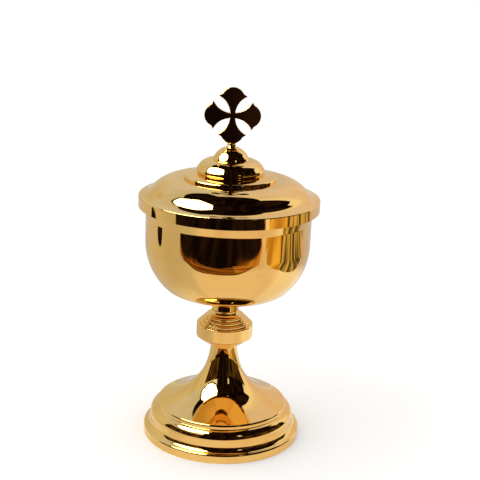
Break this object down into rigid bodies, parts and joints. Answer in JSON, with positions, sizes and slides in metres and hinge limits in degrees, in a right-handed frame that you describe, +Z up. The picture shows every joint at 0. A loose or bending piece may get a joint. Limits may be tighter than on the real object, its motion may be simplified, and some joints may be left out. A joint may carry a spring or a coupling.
{
  "type": "ciborium",
  "caption": "Covered ciborium in polished gilt metal: spun cup on a stepped knop and trumpet foot, with a domed lift-off lid that carries a flat plate cross.",
  "frame": {"origin": "centre of the foot's underside, on the table", "axes": "+Z up along the stem; the plate of the cross lies in the XZ plane and its front face looks along -Y, towards the camera"},
  "size_m": [0.1122, 0.1122, 0.2242],
  "materials": {
    "gilt_brass": "polished gilt, mirror bright",
    "steel": "bright zinc-plated fasteners"
  },
  "bodies": {
    "vessel": {"foot": "gilt_brass", "foot_ring": "gilt_brass", "stem_bush": "gilt_brass", "knop": "gilt_brass", "upper_collar": "gilt_brass", "cup_boss": "gilt_brass", "cup": "gilt_brass", "tie_rod": "steel", "clamp_plate": "steel", "spring_washer": "steel", "clamp_nut": "steel"},
    "lid": {"lid_shell": "gilt_brass", "lid_bezel": "gilt_brass", "lid_step": "gilt_brass", "lid_cushion": "gilt_brass", "lid_cap": "gilt_brass", "finial_bolt": "gilt_brass", "cross": "gilt_brass", "finial_washer": "steel", "finial_spring_washer": "steel", "finial_nut": "steel"}
  },
  "joints": [
    {"name": "lid_lift", "type": "slide", "parent": "vessel", "child": "lid", "axis": [0, 0, 1], "range_m": [0, 0.09]}
  ]
}
